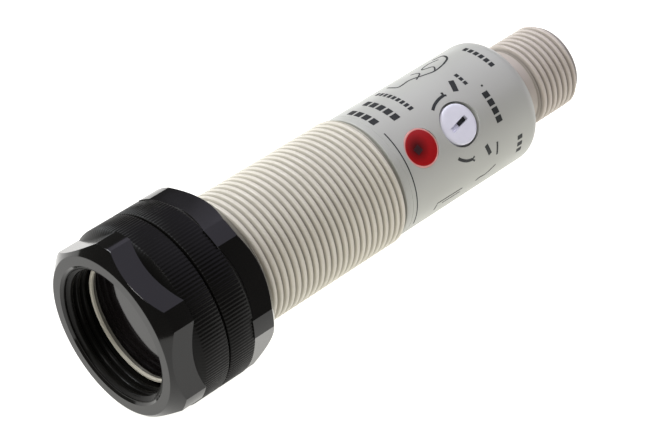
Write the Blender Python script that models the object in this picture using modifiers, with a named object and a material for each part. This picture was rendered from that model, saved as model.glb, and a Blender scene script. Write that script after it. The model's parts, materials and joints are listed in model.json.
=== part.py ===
"""Photoelectric sensor in an M18 x 1 threaded plastic case, with two nuts and an M12 plug end.

Units are metres. The sensing end looks along -X and the M12 plug end points along +X. The
origin is the centre of the window's outer face. Everything is drawn in a frame whose Z is the
sensor's long axis and whose X points out through the sensitivity adjuster. The empty
"sensor_axis" turns that frame into the world's.
"""

import math

import bmesh
import bpy
from mathutils import Matrix

MM = 0.001

# Turn of the adjuster, and of each nut's first flat, about the long axis, from straight up.
ADJUSTER_TURN = 44.2
FRONT_NUT_TURN = 20.8
REAR_NUT_TURN = -6.5

# Positions along the axis, in mm from the window's outer face.
RIM_Z = -0.3
THREAD_END_Z = 37.3
COVER_START_Z = 37.6
COVER_END_Z = 62.8
PLUG_THREAD_Z = 66.0
PLUG_END_Z = 73.4
INDICATOR_Z = 42.6
ADJUSTER_Z = 49.6

# M18 x 1 case, in mm.
THREAD_R = 8.97
THREAD_ROOT_R = 8.82
THREAD_LEAD = 0.95
THREAD_RUNOUT = 0.3
CASE_BORE_R = 6.9
WINDOW_SEAT_R = 7.6
WINDOW_SEAT_Z = 3.6
RIM_FLAT_R = 8.3
SPIGOT_R = 7.55
SPIGOT_END_Z = 40.0

# Grey cover over the rear half, in mm.
COVER_R = 8.65
COVER_BORE_R = 7.75
COVER_ROUND_R = 2.2
COVER_MOUTH_R = 6.95
COVER_END_THICK = 1.9
COVER_CHAMFER = 0.15

# M12 x 1 plug end, in mm.
PLUG_R = 5.96
PLUG_LEAD_R = 5.5
PLUG_NECK_R = 5.3
PLUG_BORE_R = 4.3
PLUG_THREAD_END_Z = 71.7
PLUG_LEAD_Z = 72.2
PLUG_CHAMFER = 0.3
PLUG_FLANGE_R = 7.45
PLUG_FLANGE_Z = 60.6
PLUG_FOOT_Z = 58.2
PLUG_COLLAR_R = 6.7
INSERT_POCKET_R = 5.6
INSERT_POCKET_Z = 59.4
SOCKET_FLOOR_Z = 66.4
CODING_KEY_SIZE = (0.9, 1.0, 6.3)
CODING_KEY_CENTRE = (4.05, 0.0, 69.6)

# Nuts, in mm. Each one is a hexagon with a round knurled collar behind it.
NUT_THICK = 8.2
NUT_GAP = 0.2
NUT_HEX_THICK = 4.2
NUT_FLAT_R = 11.2
NUT_CORNER_R = 12.25
NUT_COLLAR_R = 12.15
NUT_FACE_R = 10.8
NUT_BORE_R = 9.06
NUT_MOUTH_R = 9.4
NUT_CHAMFER = 0.45
FRONT_NUT_Z = -3.9
REAR_NUT_Z = FRONT_NUT_Z + NUT_THICK + NUT_GAP

# Sensitivity adjuster and indicator, in mm. Heights run out from the long axis.
ADJUSTER_HOLE_R = 2.9
KNOB_R = 2.55
KNOB_TOP = 8.4
KNOB_DISC_THICK = 1.3
KNOB_STEM_R = 1.2
SEAL_POCKET_R = 2.15
KNOB_STEM_FOOT = 2.2
KNOB_SLOT_LENGTH = 3.1
KNOB_SLOT_WIDTH = 0.65
KNOB_SLOT_DEPTH = 0.55
KNOB_REST_TURN = 13.0
BOSS_R = 3.7
BOSS_FOOT = 5.4
BOSS_TOP = 7.78
BOSS_FLOOR = 7.0
SEAL_POCKET_FLOOR = 6.0
SEAL_HEIGHT = 6.5
SEAL_RING_R = 1.7
SEAL_WIRE_R = 0.38
STEM_CLEARANCE = 0.2
INDICATOR_HOLE_R = 2.3
INDICATOR_R = 2.2
INDICATOR_FOOT = 7.0
INDICATOR_TOP = 8.5
LIGHT_PIPE_R = 1.2
LIGHT_PIPE_FOOT = 2.45

# Optics behind the sensing end, in mm. The two lenses stand side by side.
WINDOW_R = 7.2
WINDOW_THICK = 1.8
GASKET_RING_R = 6.35
GASKET_WIRE_R = 0.45
GASKET_Z = 2.3
LENS_BLOCK_R = 6.6
LENS_BLOCK_Z = 4.6
LENS_BLOCK_THICK = 1.0
LENS_R = 3.0
LENS_HEIGHT = 1.4
LENS_OFFSET = 3.3
HOLDER_Z = 5.9
HOLDER_LENGTH = 9.0
CHAMBER_SIZE = (5.6, 4.4, 12.0)
CHAMBER_Z = 10.4
LAMP_R = 1.5
LAMP_TIP_Z = 9.4
LAMP_LENGTH = 4.6
LAMP_FLANGE = 0.35
LAMP_FLANGE_THICK = 0.8
LAMP_OFFSET = 3.1

# Circuit board, in mm. Its parts stand on the face that looks at the adjuster.
BOARD_THICK = 1.0
BOARD_WIDTH = 12.0
BOARD_START_Z = 15.6
BOARD_END_Z = 55.0
BOARD_GAP = 0.05

# Four-pin contact insert, in mm.
PIN_R = 0.5
PIN_CIRCLE_R = 2.5
PIN_HOLE_R = 0.6
PIN_START_Z = 57.0
PIN_TIP_Z = 72.6
INSERT_R = 4.0
INSERT_FLANGE_R = 5.3
INSERT_FLANGE_THICK = 0.7
INSERT_START_Z = 58.4
POTTING_R = 7.4
POTTING_Z = 53.7
POTTING_THICK = 4.2

# Sides of a full turn, by how large the piece is.
WHOLE_TURN = 72
FINE_TURN = 48
SMALL_TURN = 32
PIN_TURN = 16

SHARP_ANGLE = math.radians(35)


def clear_scene():
    for found in list(bpy.data.objects):
        bpy.data.objects.remove(found)


def new_collection(name):
    made = bpy.data.collections.new(name)
    bpy.context.scene.collection.children.link(made)
    return made


def new_material(name, colour, roughness, metallic=0.0):
    made = bpy.data.materials.new(name)
    made.use_nodes = True
    shader = made.node_tree.nodes["Principled BSDF"]
    shader.inputs["Base Color"].default_value = (*colour, 1.0)
    shader.inputs["Roughness"].default_value = roughness
    shader.inputs["Metallic"].default_value = metallic
    return made


clear_scene()
SENSOR = new_collection("photoelectric_sensor")
CUTTERS = new_collection("cutters")
CUTTERS.hide_render = True

turn = math.radians(ADJUSTER_TURN)
AXIS = bpy.data.objects.new("sensor_axis", None)
AXIS.matrix_world = Matrix(
    (
        (0.0, 0.0, 1.0, 0.0),
        (-math.sin(turn), -math.cos(turn), 0.0, 0.0),
        (math.cos(turn), -math.sin(turn), 0.0, 0.0),
        (0.0, 0.0, 0.0, 1.0),
    )
)
SENSOR.objects.link(AXIS)


def add(name, mesh, cutter=False, at=(0.0, 0.0, 0.0)):
    """An object in the sensor's frame, with its origin at a point in mm."""
    made = bpy.data.objects.new(name, mesh)
    made.parent = AXIS
    made.location = [value * MM for value in at]
    if cutter:
        made.hide_render = True
        made.display_type = "WIRE"
        CUTTERS.objects.link(made)
    else:
        SENSOR.objects.link(made)
    return made


def turned(name, profile, steps=WHOLE_TURN, cutter=False, at=(0.0, 0.0, 0.0)):
    """A body of revolution about the long axis. The profile is a list of (radius, height) in mm."""
    mesh = bpy.data.meshes.new(name)
    points = [(radius * MM, 0.0, height * MM) for radius, height in profile]
    closed = profile[0][0] > 0.0
    edges = [(i, i + 1) for i in range(len(points) - 1)]
    if closed:
        edges.append((len(points) - 1, 0))
    mesh.from_pydata(points, edges, [])
    made = add(name, mesh, cutter, at)
    screw = made.modifiers.new("turn", "SCREW")
    screw.axis = "Z"
    screw.steps = steps
    screw.render_steps = steps
    screw.use_smooth_shade = True
    screw.use_merge_vertices = True
    screw.merge_threshold = 0.000001
    return made


def block(name, size, centre, cutter=False, bevel=0.0):
    """A box in mm, with its edges rounded where bevel is over 0."""
    shape = bmesh.new()
    bmesh.ops.create_cube(shape, size=1.0)
    bmesh.ops.scale(shape, vec=[value * MM for value in size], verts=shape.verts)
    mesh = bpy.data.meshes.new(name)
    shape.to_mesh(mesh)
    shape.free()
    made = add(name, mesh, cutter, centre)
    if bevel:
        rounding = made.modifiers.new("edges", "BEVEL")
        rounding.width = bevel * MM
        rounding.segments = 2
    return made


def rod(name, radius, length, base, outward=False, cutter=False, steps=SMALL_TURN, sides_turn=0.0):
    """A cylinder in mm from its base, along the sensor or, with outward, out from the axis."""
    shape = bmesh.new()
    bmesh.ops.create_cone(
        shape, cap_ends=True, segments=steps, radius1=radius * MM, radius2=radius * MM, depth=length * MM
    )
    bmesh.ops.rotate(shape, matrix=Matrix.Rotation(math.radians(sides_turn), 3, "Z"), verts=shape.verts)
    bmesh.ops.translate(shape, vec=(0.0, 0.0, length * MM / 2), verts=shape.verts)
    if outward:
        bmesh.ops.rotate(shape, matrix=Matrix.Rotation(math.radians(90), 3, "Y"), verts=shape.verts)
    mesh = bpy.data.meshes.new(name)
    shape.to_mesh(mesh)
    shape.free()
    mesh.shade_smooth()
    mesh.set_sharp_from_angle(angle=SHARP_ANGLE)
    return add(name, mesh, cutter, base)


def ring_profile(ring_r, wire_r, centre_z=0.0):
    """The round section of a rubber ring, wound so that its faces look out."""
    return [
        (ring_r + wire_r * math.cos(math.radians(angle)), centre_z + wire_r * math.sin(math.radians(angle)))
        for angle in range(360, 0, -45)
    ]


def boolean(body, tool, operation="DIFFERENCE"):
    made = body.modifiers.new(tool.name, "BOOLEAN")
    made.operation = operation
    made.solver = "EXACT"
    made.object = tool


def paint(body, material):
    body.data.materials.clear()
    body.data.materials.append(material)


# Threaded case: open tube with the window's seat in front and a spigot for the cover behind.
barrel = turned(
    "barrel",
    [
        (RIM_FLAT_R, RIM_Z),
        (WINDOW_SEAT_R, 0.0),
        (WINDOW_SEAT_R, WINDOW_SEAT_Z),
        (CASE_BORE_R, WINDOW_SEAT_Z),
        (CASE_BORE_R, SPIGOT_END_Z),
        (SPIGOT_R, SPIGOT_END_Z),
        (SPIGOT_R, THREAD_END_Z),
        (THREAD_ROOT_R, THREAD_END_Z),
        (THREAD_R, THREAD_END_Z - THREAD_RUNOUT),
        (THREAD_R, RIM_Z + THREAD_LEAD),
    ],
)


# Grey cover: thin tube with a rounded rear shoulder, and two holes towards the adjuster.
def cover_profile():
    shoulder = [
        (
            COVER_R - COVER_ROUND_R * (1.0 - math.cos(math.radians(angle))),
            COVER_END_Z - COVER_ROUND_R * (1.0 - math.sin(math.radians(angle))),
        )
        for angle in range(70, -1, -10)
    ]
    mouth_z = COVER_END_Z - COVER_END_THICK
    return (
        [(COVER_MOUTH_R, COVER_END_Z - COVER_CHAMFER / 2)]
        + shoulder
        + [
            (COVER_R, COVER_START_Z + COVER_CHAMFER),
            (COVER_R - COVER_CHAMFER, COVER_START_Z),
            (COVER_BORE_R, COVER_START_Z),
            (COVER_BORE_R, mouth_z),
            (COVER_MOUTH_R, mouth_z),
        ]
    )


rear_cover = turned("rear_cover", cover_profile())
# A boss inside the cover carries the adjuster's disc and, in a pocket under it, its seal.
for operation, name, radius, low, high, hole_z in (
    ("UNION", "adjuster_boss", BOSS_R, BOSS_FOOT, BOSS_TOP, ADJUSTER_Z),
    ("DIFFERENCE", "adjuster_hole", ADJUSTER_HOLE_R, BOSS_FLOOR, 11.0, ADJUSTER_Z),
    ("DIFFERENCE", "seal_pocket", SEAL_POCKET_R, SEAL_POCKET_FLOOR, BOSS_TOP, ADJUSTER_Z),
    ("DIFFERENCE", "stem_hole", KNOB_STEM_R + STEM_CLEARANCE, 5.0, BOSS_FLOOR, ADJUSTER_Z),
    ("DIFFERENCE", "indicator_hole", INDICATOR_HOLE_R, SEAL_POCKET_FLOOR, 11.0, INDICATOR_Z),
):
    tool = rod(name, radius, high - low, (low, 0.0, hole_z), True, True, FINE_TURN)
    boolean(rear_cover, tool, operation)

# Plug end: flange held inside the cover, neck, M12 thread and the tube around the pins.
connector_shell = turned(
    "connector_shell",
    [
        (PLUG_BORE_R, PLUG_END_Z),
        (PLUG_LEAD_R - PLUG_CHAMFER, PLUG_END_Z),
        (PLUG_LEAD_R, PLUG_END_Z - PLUG_CHAMFER),
        (PLUG_LEAD_R, PLUG_LEAD_Z),
        (PLUG_R, PLUG_THREAD_END_Z),
        (PLUG_R, PLUG_THREAD_Z),
        (PLUG_NECK_R, PLUG_THREAD_Z - 0.5),
        (PLUG_NECK_R, COVER_END_Z + 0.75),
        (PLUG_NECK_R + 0.5, COVER_END_Z + 0.15),
        (PLUG_COLLAR_R - 0.2, COVER_END_Z + 0.1),
        (PLUG_COLLAR_R, COVER_END_Z - 0.15),
        (PLUG_COLLAR_R, PLUG_FLANGE_Z),
        (PLUG_FLANGE_R, PLUG_FLANGE_Z),
        (PLUG_FLANGE_R, PLUG_FOOT_Z),
        (INSERT_POCKET_R, PLUG_FOOT_Z),
        (INSERT_POCKET_R, INSERT_POCKET_Z),
        (PLUG_BORE_R, INSERT_POCKET_Z),
    ],
    FINE_TURN,
)
coding_key = block("coding_key", CODING_KEY_SIZE, CODING_KEY_CENTRE, True)
boolean(connector_shell, coding_key, "UNION")


# Nuts: turned blank with a 45 degree chamfer on the hexagon's face, then six flats.
def hexagon_cutter(name, low, high, turn_degrees):
    """A ring with a hexagonal hole: it takes away what lies outside the six flats."""
    ring = rod(name, 2.0 * NUT_THICK, high - low, (0.0, 0.0, low), cutter=True)
    hole = rod(
        name + "_hole",
        NUT_FLAT_R / math.cos(math.radians(30)),
        high - low + 4.0,
        (0.0, 0.0, low - 2.0),
        cutter=True,
        steps=6,
        sides_turn=turn_degrees + 30.0,
    )
    boolean(ring, hole)
    return ring


def nut(name, face_z, inward, flat_turn):
    """A nut whose hexagon faces face_z. inward is 1 where its collar lies at higher Z, else -1."""

    def at(depth):
        return face_z + inward * depth

    profile = [
        (NUT_MOUTH_R, at(0.0)),
        (NUT_FACE_R, at(0.0)),
        (NUT_CORNER_R, at(NUT_CORNER_R - NUT_FACE_R)),
        (NUT_CORNER_R, at(NUT_HEX_THICK)),
        (NUT_COLLAR_R, at(NUT_HEX_THICK)),
        (NUT_COLLAR_R, at(NUT_THICK - NUT_CHAMFER)),
        (NUT_COLLAR_R - NUT_CHAMFER, at(NUT_THICK)),
        (NUT_MOUTH_R, at(NUT_THICK)),
        (NUT_BORE_R, at(NUT_THICK - NUT_CHAMFER)),
        (NUT_BORE_R, at(NUT_CHAMFER)),
    ]
    if inward > 0:
        profile.reverse()
    turn_degrees = flat_turn - ADJUSTER_TURN
    body = turned(name, profile)
    body.rotation_euler = (0.0, 0.0, math.radians(turn_degrees))
    outer_face = at(-1.0)
    hexagon_end = at(NUT_HEX_THICK)
    low = min(outer_face, hexagon_end)
    high = max(outer_face, hexagon_end)
    boolean(body, hexagon_cutter(name + "_flats", low, high, turn_degrees))
    return body


front_nut = nut("front_nut", FRONT_NUT_Z, 1, FRONT_NUT_TURN)
rear_nut = nut("rear_nut", REAR_NUT_Z + NUT_THICK, -1, REAR_NUT_TURN)

# Optics behind the sensing end: window, its seal, two moulded lenses and their holder.
front_window = turned(
    "front_window",
    [(0.0, WINDOW_THICK), (WINDOW_R, WINDOW_THICK), (WINDOW_R, 0.2), (WINDOW_R - 0.2, 0.0), (0.0, 0.0)],
)
window_gasket = turned("window_gasket", ring_profile(GASKET_RING_R, GASKET_WIRE_R, GASKET_Z), FINE_TURN)
lens_block = rod("lens_block", LENS_BLOCK_R, LENS_BLOCK_THICK, (0.0, 0.0, LENS_BLOCK_Z), steps=FINE_TURN)
for side, lens_y in (("emitter", -LENS_OFFSET), ("receiver", LENS_OFFSET)):
    lens = turned(
        side + "_lens",
        [(0.0, LENS_BLOCK_Z + 0.4), (LENS_R, LENS_BLOCK_Z + 0.4)]
        + [
            (
                LENS_R * math.sin(math.radians(angle)),
                LENS_BLOCK_Z + 0.1 - LENS_HEIGHT * math.cos(math.radians(angle)),
            )
            for angle in range(90, -1, -15)
        ],
        FINE_TURN,
        True,
        (0.0, lens_y, 0.0),
    )
    boolean(lens_block, lens, "UNION")
lens_holder = rod("lens_holder", LENS_BLOCK_R, HOLDER_LENGTH, (0.0, 0.0, HOLDER_Z), steps=FINE_TURN)
for side, chamber_y in (("emitter", -LAMP_OFFSET), ("receiver", LAMP_OFFSET)):
    chamber = block(side + "_chamber", CHAMBER_SIZE, (0.0, chamber_y, CHAMBER_Z), True)
    boolean(lens_holder, chamber)


def leaded_lamp(name, y):
    """A round-nosed 3 mm lamp body with its flange, looking towards -Z."""
    dome = [
        (
            LAMP_R * math.sin(math.radians(angle)),
            LAMP_TIP_Z + LAMP_R * (1.0 - math.cos(math.radians(angle))),
        )
        for angle in range(0, 91, 15)
    ]
    back = LAMP_TIP_Z + LAMP_LENGTH
    flange_z = back - LAMP_FLANGE_THICK
    flange_r = LAMP_R + LAMP_FLANGE
    profile = dome + [(LAMP_R, flange_z), (flange_r, flange_z), (flange_r, back), (0.0, back)]
    return turned(name, profile[::-1], SMALL_TURN, at=(0.0, y, 0.0))


emitter_led = leaded_lamp("emitter_led", -LAMP_OFFSET)
receiver_photodiode = leaded_lamp("receiver_photodiode", LAMP_OFFSET)

# Circuit board along the axis, with the parts that stand on it.
BOARD_TOP = BOARD_THICK / 2
circuit_board = block(
    "circuit_board",
    (BOARD_THICK, BOARD_WIDTH, BOARD_END_Z - BOARD_START_Z),
    (0.0, 0.0, (BOARD_START_Z + BOARD_END_Z) / 2),
)


def on_board(name, height, width, length, y, z, bevel=0.1):
    """A part on the board's outer face, by its height above the board, width and length."""
    base = BOARD_TOP + BOARD_GAP
    return block(name, (height, width, length), (base + height / 2, y, z), bevel=bevel)


shield_can = on_board("shield_can", 2.2, 8.6, 9.0, 0.0, 21.5, 0.25)
control_ic = on_board("control_ic", 1.1, 5.2, 5.2, 0.0, 30.0)
output_transistor = on_board("output_transistor", 1.3, 2.6, 3.2, -3.4, 36.2)
capacitor = rod("capacitor", 1.6, 3.4, (BOARD_TOP + BOARD_GAP, 2.6, 36.2), True)
indicator_led = on_board("indicator_led", 1.6, 2.0, 2.4, 0.0, INDICATOR_Z)
potentiometer_body = on_board("potentiometer_body", 2.2, 5.6, 5.6, 0.0, ADJUSTER_Z, 0.2)
boolean(
    potentiometer_body,
    rod("rotor_well", KNOB_STEM_R + 0.15, 4.0, (1.9, 0.0, ADJUSTER_Z), True, True),
)

# Indicator window: red light pipe from the lamp to the cover's outside.
indicator_window = rod(
    "indicator_window",
    INDICATOR_R,
    INDICATOR_TOP - INDICATOR_FOOT,
    (INDICATOR_FOOT, 0.0, INDICATOR_Z),
    True,
    steps=FINE_TURN,
)
light_pipe = rod("light_pipe", LIGHT_PIPE_R, 5.0, (LIGHT_PIPE_FOOT, 0.0, INDICATOR_Z), True, True)
boolean(indicator_window, light_pipe, "UNION")

# Sensitivity adjuster: slotted disc on a stem that turns in the potentiometer, and its seal.
disc_foot = KNOB_TOP - KNOB_DISC_THICK
adjuster_knob = rod(
    "adjuster_knob", KNOB_R, KNOB_DISC_THICK, (disc_foot, 0.0, ADJUSTER_Z), True, steps=FINE_TURN
)
stem_length = disc_foot + 0.3 - KNOB_STEM_FOOT
stem = rod("adjuster_stem", KNOB_STEM_R, stem_length, (KNOB_STEM_FOOT, 0.0, ADJUSTER_Z), True, True)
boolean(adjuster_knob, stem, "UNION")
slot = block(
    "adjuster_slot",
    (2.0 * KNOB_SLOT_DEPTH, KNOB_SLOT_WIDTH, KNOB_SLOT_LENGTH),
    (KNOB_TOP, 0.0, ADJUSTER_Z),
    True,
)
slot.rotation_euler = (math.radians(KNOB_REST_TURN), 0.0, 0.0)
boolean(adjuster_knob, slot)
adjuster_oring = turned(
    "adjuster_oring",
    ring_profile(SEAL_RING_R, SEAL_WIRE_R),
    SMALL_TURN,
    at=(SEAL_HEIGHT, 0.0, ADJUSTER_Z),
)
adjuster_oring.rotation_euler = (0.0, math.radians(90), 0.0)

# Contact insert with its four pins, and the resin that seals the board's end.
PIN_PLACES = [
    (
        PIN_CIRCLE_R * math.cos(math.radians(angle)),
        PIN_CIRCLE_R * math.sin(math.radians(angle)),
    )
    for angle in (45, 135, 225, 315)
]
connector_insert = turned(
    "connector_insert",
    [
        (0.0, SOCKET_FLOOR_Z),
        (INSERT_R, SOCKET_FLOOR_Z),
        (INSERT_R, INSERT_START_Z + INSERT_FLANGE_THICK),
        (INSERT_FLANGE_R, INSERT_START_Z + INSERT_FLANGE_THICK),
        (INSERT_FLANGE_R, INSERT_START_Z),
        (0.0, INSERT_START_Z),
    ],
    FINE_TURN,
)
potting_resin = rod("potting_resin", POTTING_R, POTTING_THICK, (0.0, 0.0, POTTING_Z), steps=FINE_TURN)
board_slot_size = (BOARD_THICK + 0.5, BOARD_WIDTH + 0.5, 4.0)
boolean(potting_resin, block("board_slot", board_slot_size, (0.0, 0.0, BOARD_END_Z - 1.6), True))
for number, (pin_x, pin_y) in enumerate(PIN_PLACES, start=1):
    turned(
        "contact_pin_" + str(number),
        [
            (0.0, PIN_TIP_Z),
            (PIN_R * 0.5, PIN_TIP_Z - 0.1),
            (PIN_R, PIN_TIP_Z - 0.6),
            (PIN_R, PIN_START_Z),
            (0.0, PIN_START_Z),
        ],
        PIN_TURN,
        at=(pin_x, pin_y, 0.0),
    )
    boolean(
        connector_insert,
        rod("pin_hole_" + str(number), PIN_HOLE_R, 12.0, (pin_x, pin_y, 56.0), cutter=True, steps=PIN_TURN),
    )
    boolean(
        potting_resin,
        rod("pin_pocket_" + str(number), 0.8, 3.0, (pin_x, pin_y, 56.7), cutter=True, steps=PIN_TURN),
    )

MATERIALS = {
    "cream_plastic": ((0.78, 0.74, 0.66), 0.5, 0.0, ["barrel", "connector_shell"]),
    "grey_plastic": ((0.42, 0.42, 0.40), 0.45, 0.0, ["rear_cover"]),
    "black_nut_plastic": ((0.012, 0.012, 0.014), 0.3, 0.0, ["front_nut", "rear_nut"]),
    "window_acrylic": ((0.015, 0.01, 0.012), 0.08, 0.0, ["front_window"]),
    "clear_acrylic": ((0.85, 0.85, 0.85), 0.05, 0.0, ["lens_block"]),
    "black_rubber": ((0.02, 0.02, 0.02), 0.7, 0.0, ["window_gasket", "adjuster_oring"]),
    "black_plastic": ((0.03, 0.03, 0.03), 0.5, 0.0, ["lens_holder", "connector_insert"]),
    "infrared_resin": ((0.03, 0.02, 0.04), 0.1, 0.0, ["emitter_led", "receiver_photodiode"]),
    "board_laminate": ((0.05, 0.25, 0.12), 0.5, 0.0, ["circuit_board"]),
    "tinned_steel": ((0.7, 0.7, 0.7), 0.3, 1.0, ["shield_can"]),
    "component_resin": (
        (0.04, 0.04, 0.04),
        0.6,
        0.0,
        ["control_ic", "output_transistor", "capacitor"],
    ),
    "lamp_resin": ((0.8, 0.8, 0.75), 0.3, 0.0, ["indicator_led"]),
    "trimmer_plastic": ((0.1, 0.2, 0.5), 0.4, 0.0, ["potentiometer_body"]),
    "white_plastic": ((0.8, 0.8, 0.82), 0.35, 0.0, ["adjuster_knob"]),
    "red_acrylic": ((0.5, 0.01, 0.01), 0.1, 0.0, ["indicator_window"]),
    "potting_epoxy": ((0.05, 0.05, 0.06), 0.4, 0.0, ["potting_resin"]),
    "pin_brass": (
        (0.8, 0.6, 0.25),
        0.3,
        1.0,
        ["contact_pin_1", "contact_pin_2", "contact_pin_3", "contact_pin_4"],
    ),
}
for slot_name, (colour, roughness, metallic, owners) in MATERIALS.items():
    slot_material = new_material(slot_name, colour, roughness, metallic)
    for owner in owners:
        paint(bpy.data.objects[owner], slot_material)
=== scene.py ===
"""Looks of the photoelectric sensor: threads, nuts, cover, print, materials, light and camera.

Lengths are in millimetres and angles in degrees, unless a line says otherwise. A place on the sensor
is given as (x, radius, turn): x runs along the case from the sensing window, and turn is the angle
from straight up towards -Y, the side of the adjuster. An outline is a list of (x, radius) pairs, or
of (radius, height) pairs for a piece that stands out from the sensor's side.
"""

import json
import math

import bmesh
import bpy
from mathutils import Matrix, Vector


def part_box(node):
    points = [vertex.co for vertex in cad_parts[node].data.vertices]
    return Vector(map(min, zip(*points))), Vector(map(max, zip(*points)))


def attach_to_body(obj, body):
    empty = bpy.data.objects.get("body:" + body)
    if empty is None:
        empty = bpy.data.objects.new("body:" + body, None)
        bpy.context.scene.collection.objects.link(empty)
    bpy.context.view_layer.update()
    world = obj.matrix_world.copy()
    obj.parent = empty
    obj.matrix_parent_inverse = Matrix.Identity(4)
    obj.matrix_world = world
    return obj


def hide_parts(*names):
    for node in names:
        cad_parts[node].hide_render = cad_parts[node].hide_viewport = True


MM = 0.001
WELD_M = 2e-7

# Edges sharper than these are drawn as hard ones.
SHARP = math.radians(32)
HEX_SHARP = math.radians(14)
TOOTH_SHARP = math.radians(65)

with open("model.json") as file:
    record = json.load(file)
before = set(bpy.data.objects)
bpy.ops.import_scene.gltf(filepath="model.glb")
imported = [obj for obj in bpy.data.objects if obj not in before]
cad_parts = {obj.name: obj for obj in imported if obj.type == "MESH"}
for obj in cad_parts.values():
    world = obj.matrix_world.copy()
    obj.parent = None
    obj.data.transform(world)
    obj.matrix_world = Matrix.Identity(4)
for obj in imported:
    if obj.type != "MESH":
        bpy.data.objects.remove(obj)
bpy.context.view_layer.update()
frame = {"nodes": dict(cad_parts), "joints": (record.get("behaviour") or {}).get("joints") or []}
NODES = frame["nodes"]


def extent(node):
    """Where a CAD node starts and ends along the case."""
    low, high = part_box(node)
    return round(low.x / MM, 2), round(high.x / MM, 2)


def hinge(name):
    """Where along the case a hinge's axis stands, and its turn."""
    joint = next(joint for joint in frame["joints"] if joint["name"] == name)
    turn = math.degrees(math.atan2(-joint["axis"][1], joint["axis"][2]))
    return round(joint["pos_m"][0] / MM, 2), round(turn, 1)


# Threads have a pitch of 1 mm, with THREAD_SAMPLES mesh lines to each turn. A groove's walls rise
# between two distances from its middle.
THREAD_SAMPLES = 8
GROOVE_FLOOR = 0.02
GROOVE_WALL = 0.32

# Threaded case. Its spigot goes into the cover, and its seat holds the window.
CASE_FRONT, SPIGOT_END = extent("barrel")
CASE_BACK = 37.3
CASE_CREST = 8.97
CASE_ROOT = 8.36
CASE_GROOVE = 0.92
CASE_FRONT_R = 8.3
CASE_FRONT_SLOPE = 0.75
CASE_BACK_SLOPE = 2.0
CASE_BORE = 6.9
SPIGOT_R = 7.55
SEAT_BACK = 3.6
SEAT_R = 7.6
RIM_BACK = 0.4
RIM_R = 7.98
CASE_COLUMNS = 144

# Sensing window, with a thin lip that fills the case's rim.
WINDOW_FACE, WINDOW_BACK = extent("front_window")
WINDOW_R = 7.4
LIP_BACK = 0.33
LIP_R = 7.92
WINDOW_COLUMNS = 128

# Plug end. Its flange stands inside the cover, and its shoulder fills the cover's mouth.
FLANGE_BACK, PLUG_END = extent("connector_shell")
FLANGE_FRONT = 60.6
FLANGE_R = 7.45
SHOULDER_FRONT = 62.95
SHOULDER_R = 6.7
PLUG_NECK = 5.3
PLUG_THREAD_START = 65.5
PLUG_THREAD_END = 73.0
PLUG_START_SLOPE = 1.2
PLUG_END_SLOPE = 1.1
PLUG_CREST = 5.96
PLUG_ROOT = 5.36
PLUG_GROOVE = 65.76
PLUG_BORE = 4.3
INSERT_SEAT = 59.4
INSERT_SEAT_R = 5.6
KEY_SIZE = (6.3, 1.0, 0.9)
KEY_X = 69.6
KEY_HEIGHT = 4.05
PLUG_COLUMNS = 112

# Grey cover. A fine line runs round it behind its front band.
COVER_FRONT = extent("rear_cover")[0]
COVER_LINE = 38.55
COVER_BACK = 62.8
COVER_R = 8.65
COVER_BORE = 7.75
COVER_ROUND = 2.2
COVER_ROUND_END = 75
COVER_ROUND_STEP = 5
COVER_MOUTH = 6.95
BAND_DEPTH = 0.01
LINE_DEPTH = 0.045
COVER_COLUMNS = 160

# Boss and stepped well of the adjuster, and the pieces that look out of the cover's side. Cutters
# reach up to CLEAR_HEIGHT, outside the cover.
ADJUSTER_X, ADJUSTER_TURN = hinge("sensitivity_adjuster")
INDICATOR_X = round(sum(extent("indicator_window")) / 2.0, 2)
BOSS_R = 3.7
BOSS_FOOT = 5.4
BOSS_TOP = 7.78
BOSS_COLUMNS = 80
WELL_R = 3.05
WELL_FLOOR = 7.0
SEAL_BORE = 2.35
SEAL_FLOOR = 6.0
STEM_BORE = 1.4
CLEAR_HEIGHT = 11.0
ROUND_COLUMNS = 96
KNOB_R = 2.75
KNOB_TOP = 8.4
KNOB_BACK = 7.1
STEM_R = 1.2
STEM_FOOT = 2.2
SLOT_TURN = 12.0
SLOT_SIZE = (3.05, 0.72, 1.3)
# A dark sheet paints the shade on half of the slot's floor.
SLOT_SHADE_SIZE = (1.35, 0.66, 0.3)
SLOT_SHADE_OFF = 0.8
LENS_R = 2.58
LENS_BACK = 7.0
LENS_RIM = 8.4
DOME_R = LENS_R - 0.18
DOME_RISE = 0.12
DOME_PARTS = 12
GUIDE_R = 1.2
GUIDE_FOOT = 2.45
LAMP_FACE_OFF = (-0.62, 0.2)
LAMP_FACE_SIZE = (1.0, 1.0, 0.2)
LAMP_FACE_HEIGHT = 8.482
LAMP_FACE_TURN = 20.0

# Nuts. A turn is where the middle of a flat points.
FRONT_NUT_FACE, FRONT_NUT_BACK = extent("front_nut")
REAR_NUT_FACE = extent("rear_nut")[1]
NUT_THICK = round(FRONT_NUT_BACK - FRONT_NUT_FACE, 2)
NUT_HEX = 3.5
NUT_FACE_R = 10.8
NUT_FLAT = 11.2
NUT_CORNER = 12.243
NUT_MOUTH = 9.4
NUT_BORE = 9.06
FRONT_NUT_TURN = 20.8
REAR_NUT_TURN = -6.5
FRONT_MOUTH_DEPTH = 0.35
REAR_MOUTH_DEPTH = 0.4
MOUTH_THREAD_START = FRONT_NUT_FACE + 0.25
MOUTH_THREAD_END = -0.5
MOUTH_RIDGE = 0.52
FLAT_PARTS = 24
CORNER_PARTS = 6

# Toothed collar: one tooth's relative heights, and which band of its outline is the polished end.
NUT_COLLAR = 12.15
KNURL_DEPTH = 0.09
KNURL_TEETH = 156
TOOTH_SHAPE = (0.0, 0.6, 1.0, 0.6)
TOOTH_END = 5


def place(x, radius, turn):
    """A place on the sensor in metres."""
    angle = math.radians(turn)
    return Vector((x, -radius * math.sin(angle), radius * math.cos(angle))) * MM


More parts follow.
